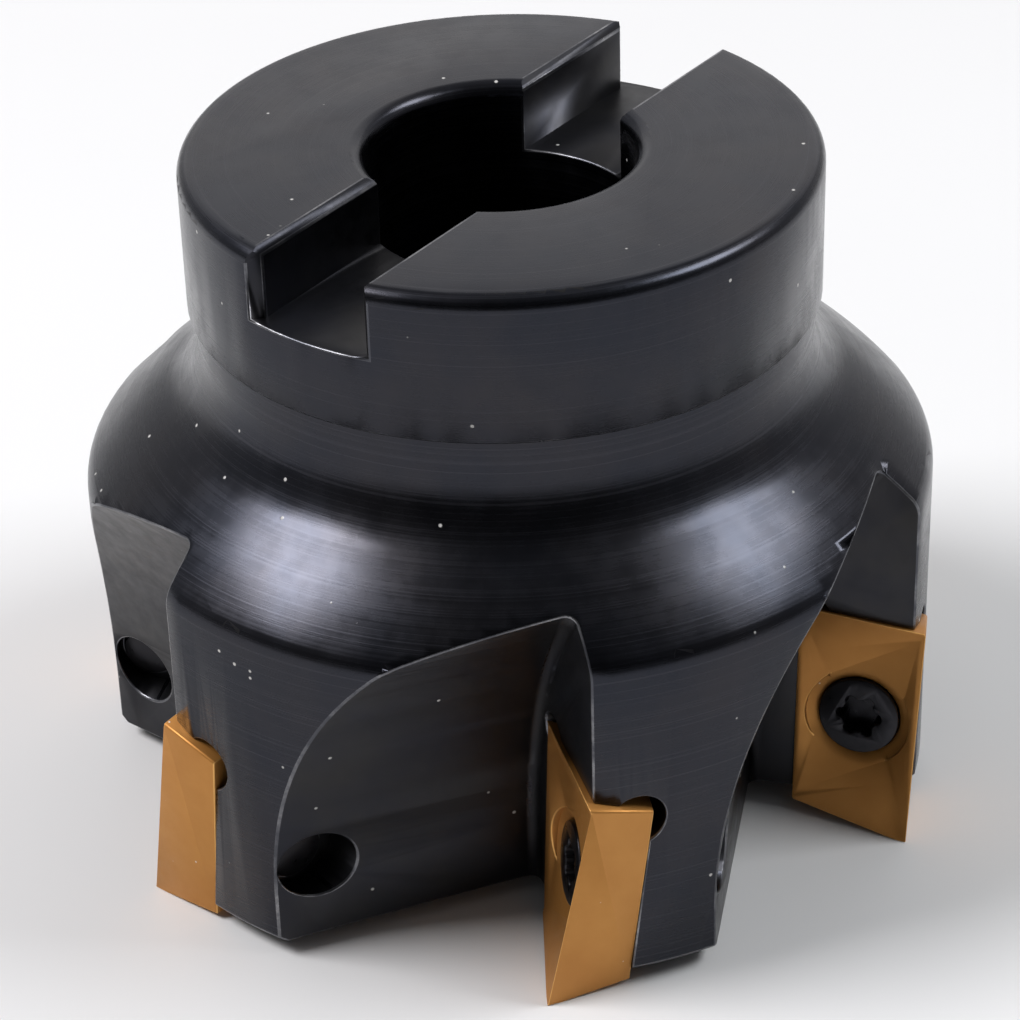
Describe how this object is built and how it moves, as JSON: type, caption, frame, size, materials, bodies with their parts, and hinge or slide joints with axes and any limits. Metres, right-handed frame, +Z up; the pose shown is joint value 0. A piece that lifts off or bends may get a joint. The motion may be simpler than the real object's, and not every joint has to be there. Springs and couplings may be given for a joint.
{
  "type": "face mill",
  "caption": "Square-shoulder face mill with screwed-in indexable inserts, a keyed pilot bore and a domed shoulder above open chip gullets.",
  "frame": {"origin": "on the cutter's axis in the cutting plane, which is the plane of the insert corners", "axes": "+Z up the arbor bore towards the spindle; +X along the drive slot"},
  "size_m": [0.0616, 0.0628, 0.0508],
  "materials": {
    "body": "blackened, satin",
    "insert": "gold hard coating, satin",
    "screw": "black, oiled"
  },
  "bodies": {
    "cutter_body": {"cutter_body": "body"},
    "insert_1": {"insert_1": "insert"},
    "insert_screw_1": {"insert_screw_1": "screw"},
    "insert_2": {"insert_2": "insert"},
    "insert_screw_2": {"insert_screw_2": "screw"},
    "insert_3": {"insert_3": "insert"},
    "insert_screw_3": {"insert_screw_3": "screw"},
    "insert_4": {"insert_4": "insert"},
    "insert_screw_4": {"insert_screw_4": "screw"},
    "insert_5": {"insert_5": "insert"},
    "insert_screw_5": {"insert_screw_5": "screw"},
    "insert_6": {"insert_6": "insert"},
    "insert_screw_6": {"insert_screw_6": "screw"}
  },
  "joints": [
    {"name": "insert_1_lift", "type": "slide", "parent": "cutter_body", "child": "insert_1", "axis": [0.7143, -0.6898, 0.1184], "range_m": [0, 0.0063]},
    {"name": "insert_screw_1_turn", "type": "hinge", "parent": "insert_1", "child": "insert_screw_1", "pos_m": [0.0194, 0.01886, 0.00859], "axis": [0.7143, -0.6898, 0.1184], "range_deg": [0, 3245]},
    {"name": "insert_2_lift", "type": "slide", "parent": "cutter_body", "child": "insert_2", "axis": [0.9545, 0.2737, 0.1184], "range_m": [0, 0.0063]},
    {"name": "insert_screw_2_turn", "type": "hinge", "parent": "insert_2", "child": "insert_screw_2", "pos_m": [-0.00663, 0.02623, 0.00859], "axis": [0.9545, 0.2737, 0.1184], "range_deg": [0, 3245]},
    {"name": "insert_3_lift", "type": "slide", "parent": "cutter_body", "child": "insert_3", "axis": [0.2402, 0.9635, 0.1184], "range_m": [0, 0.0063]},
    {"name": "insert_screw_3_turn", "type": "hinge", "parent": "insert_3", "child": "insert_screw_3", "pos_m": [-0.02603, 0.00738, 0.00859], "axis": [0.2402, 0.9635, 0.1184], "range_deg": [0, 3245]},
    {"name": "insert_4_lift", "type": "slide", "parent": "cutter_body", "child": "insert_4", "axis": [-0.7143, 0.6898, 0.1184], "range_m": [0, 0.0063]},
    {"name": "insert_screw_4_turn", "type": "hinge", "parent": "insert_4", "child": "insert_screw_4", "pos_m": [-0.0194, -0.01886, 0.00859], "axis": [-0.7143, 0.6898, 0.1184], "range_deg": [0, 3245]},
    {"name": "insert_5_lift", "type": "slide", "parent": "cutter_body", "child": "insert_5", "axis": [-0.9545, -0.2737, 0.1184], "range_m": [0, 0.0063]},
    {"name": "insert_screw_5_turn", "type": "hinge", "parent": "insert_5", "child": "insert_screw_5", "pos_m": [0.00663, -0.02623, 0.00859], "axis": [-0.9545, -0.2737, 0.1184], "range_deg": [0, 3245]},
    {"name": "insert_6_lift", "type": "slide", "parent": "cutter_body", "child": "insert_6", "axis": [-0.2402, -0.9635, 0.1184], "range_m": [0, 0.0063]},
    {"name": "insert_screw_6_turn", "type": "hinge", "parent": "insert_6", "child": "insert_screw_6", "pos_m": [0.02603, -0.00738, 0.00859], "axis": [-0.2402, -0.9635, 0.1184], "range_deg": [0, 3245]}
  ],
  "couplings": [
    {"joint": "insert_screw_1_turn", "follows": "insert_1_lift", "rad_per_m": 8976},
    {"joint": "insert_screw_2_turn", "follows": "insert_2_lift", "rad_per_m": 8976},
    {"joint": "insert_screw_3_turn", "follows": "insert_3_lift", "rad_per_m": 8976},
    {"joint": "insert_screw_4_turn", "follows": "insert_4_lift", "rad_per_m": 8976},
    {"joint": "insert_screw_5_turn", "follows": "insert_5_lift", "rad_per_m": 8976},
    {"joint": "insert_screw_6_turn", "follows": "insert_6_lift", "rad_per_m": 8976}
  ]
}
